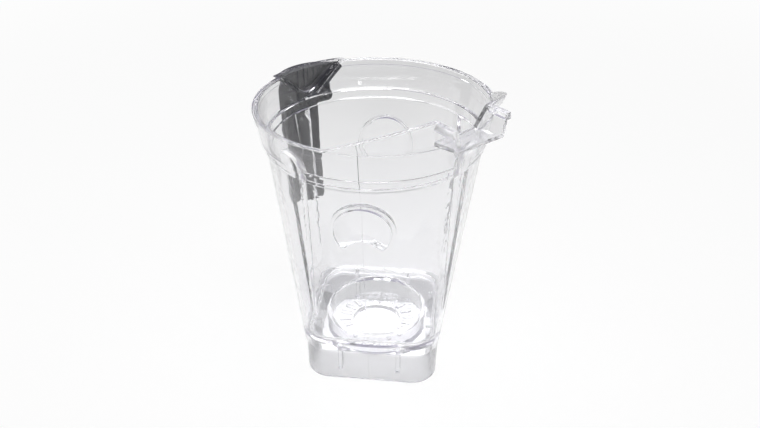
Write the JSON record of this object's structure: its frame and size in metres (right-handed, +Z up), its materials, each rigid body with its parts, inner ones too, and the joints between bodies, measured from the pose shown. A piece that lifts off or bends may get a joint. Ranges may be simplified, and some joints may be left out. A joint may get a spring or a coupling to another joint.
{
  "type": "blender jar",
  "caption": "Clear plastic blender jar: square skirt, body tapering from round to rounded square, raised pouring side with trough spout, blade seat with drive bore, dark open-ended handle.",
  "frame": {"origin": "centre of the square standing face, on the axis of the blade bore", "axes": "+Z up out of the mouth, +X towards the spout, handle towards -X"},
  "size_m": [0.217, 0.1678, 0.2325],
  "materials": {
    "clear_plastic": "water-clear, polished inside and out",
    "dark_plastic": "dark charcoal, satin"
  },
  "bodies": {
    "root": {"jar": "clear_plastic", "handle": "dark_plastic"}
  },
  "joints": []
}
